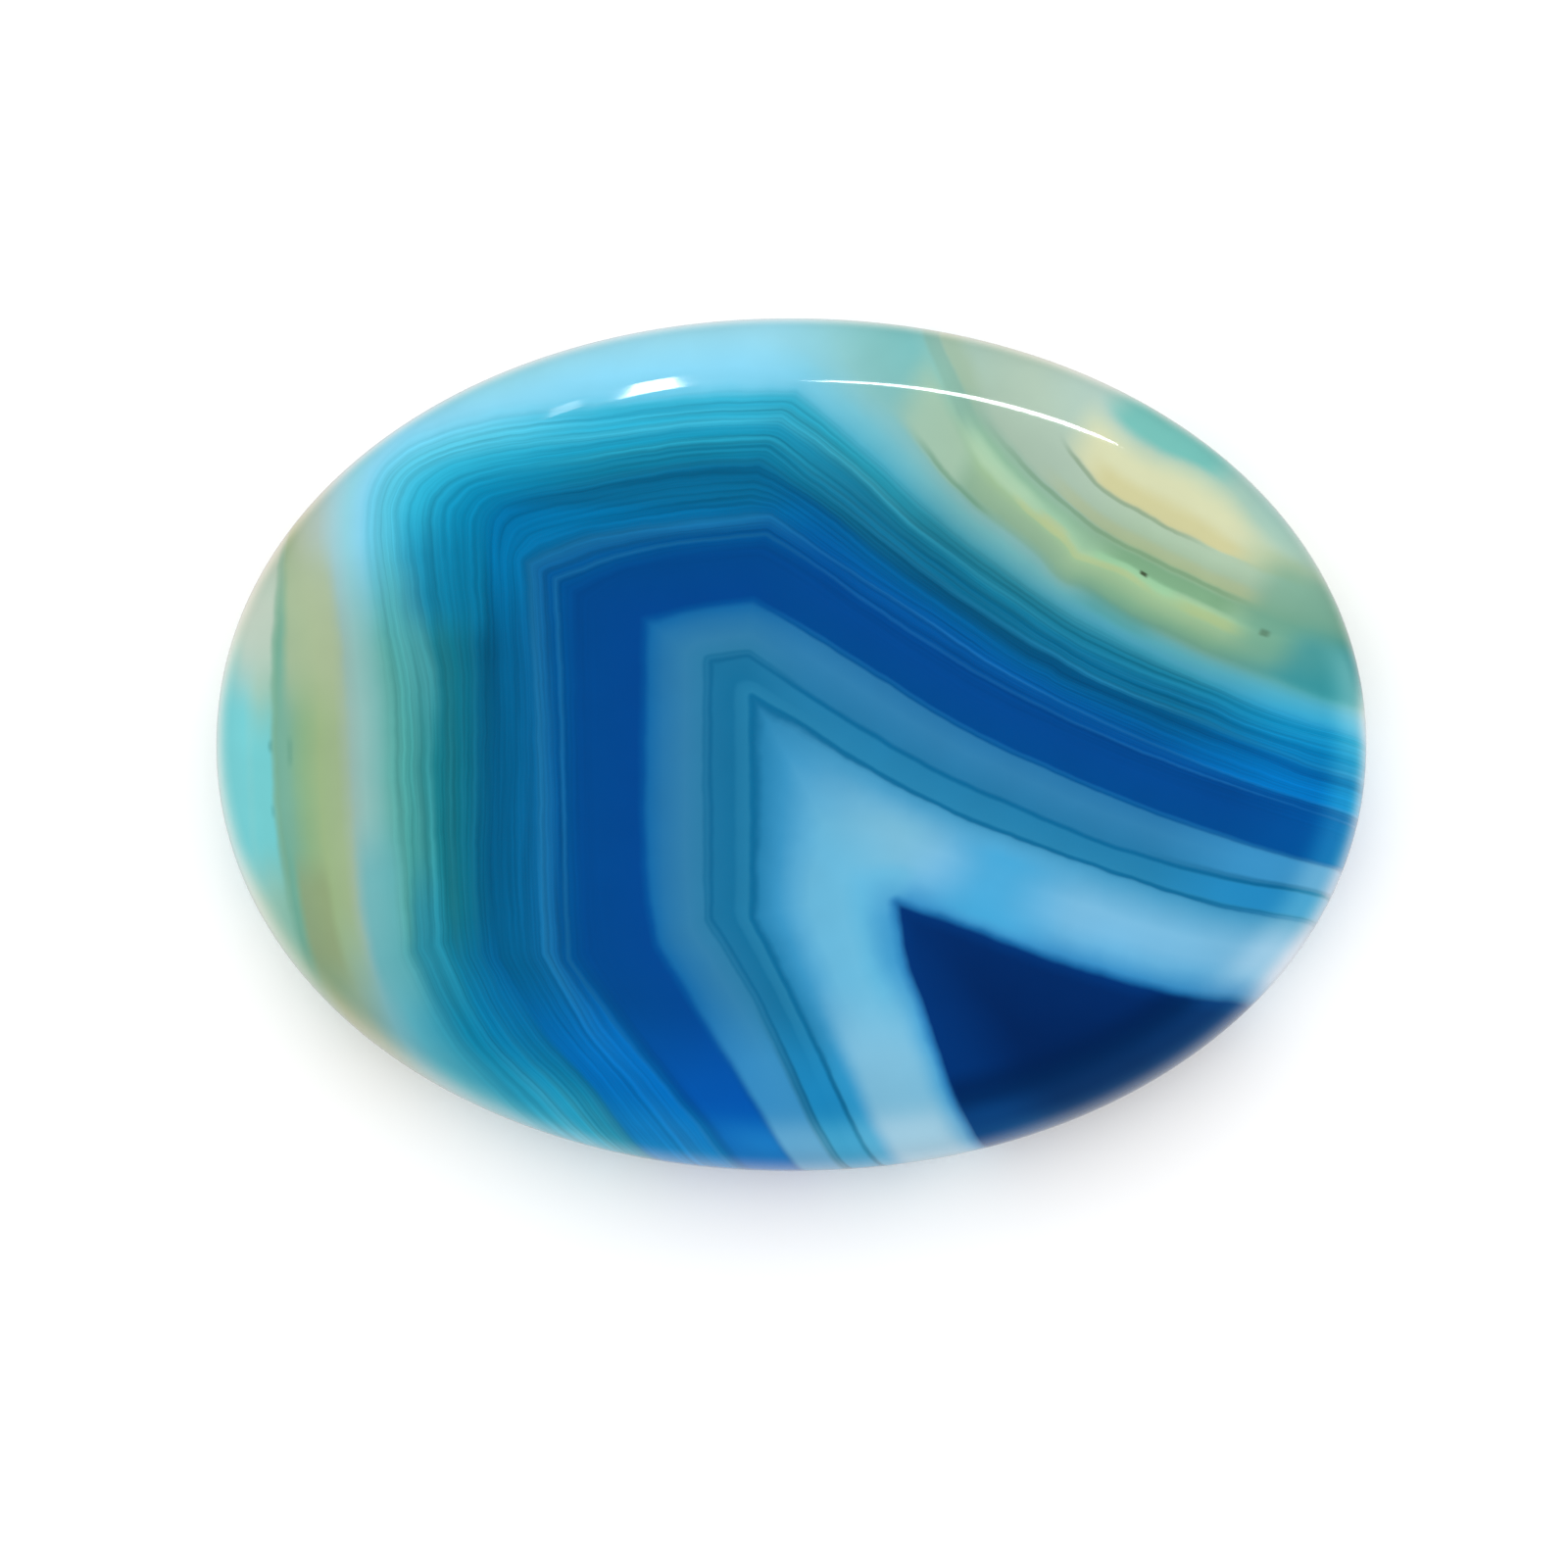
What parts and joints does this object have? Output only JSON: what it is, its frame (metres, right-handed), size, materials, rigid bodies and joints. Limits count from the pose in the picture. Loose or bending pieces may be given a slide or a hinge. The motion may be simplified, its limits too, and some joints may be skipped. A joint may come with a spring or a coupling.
{
  "type": "agate worry stone",
  "caption": "Flat oval of polished banded agate with rounded edges and a shallow dish in its front for the thumb to rub.",
  "frame": {"origin": "middle of the flat back, on the surface that the stone lies on", "axes": "+X along the length of the oval, +Y across it, towards the edge that is uppermost when the banding's corner points up and to the left, +Z out of the front, the way the thumb dish faces"},
  "size_m": [0.045, 0.0338, 0.007],
  "materials": {
    "agate": "high polish, slightly see-through"
  },
  "bodies": {
    "root": {"worry_stone": "agate"}
  },
  "joints": []
}
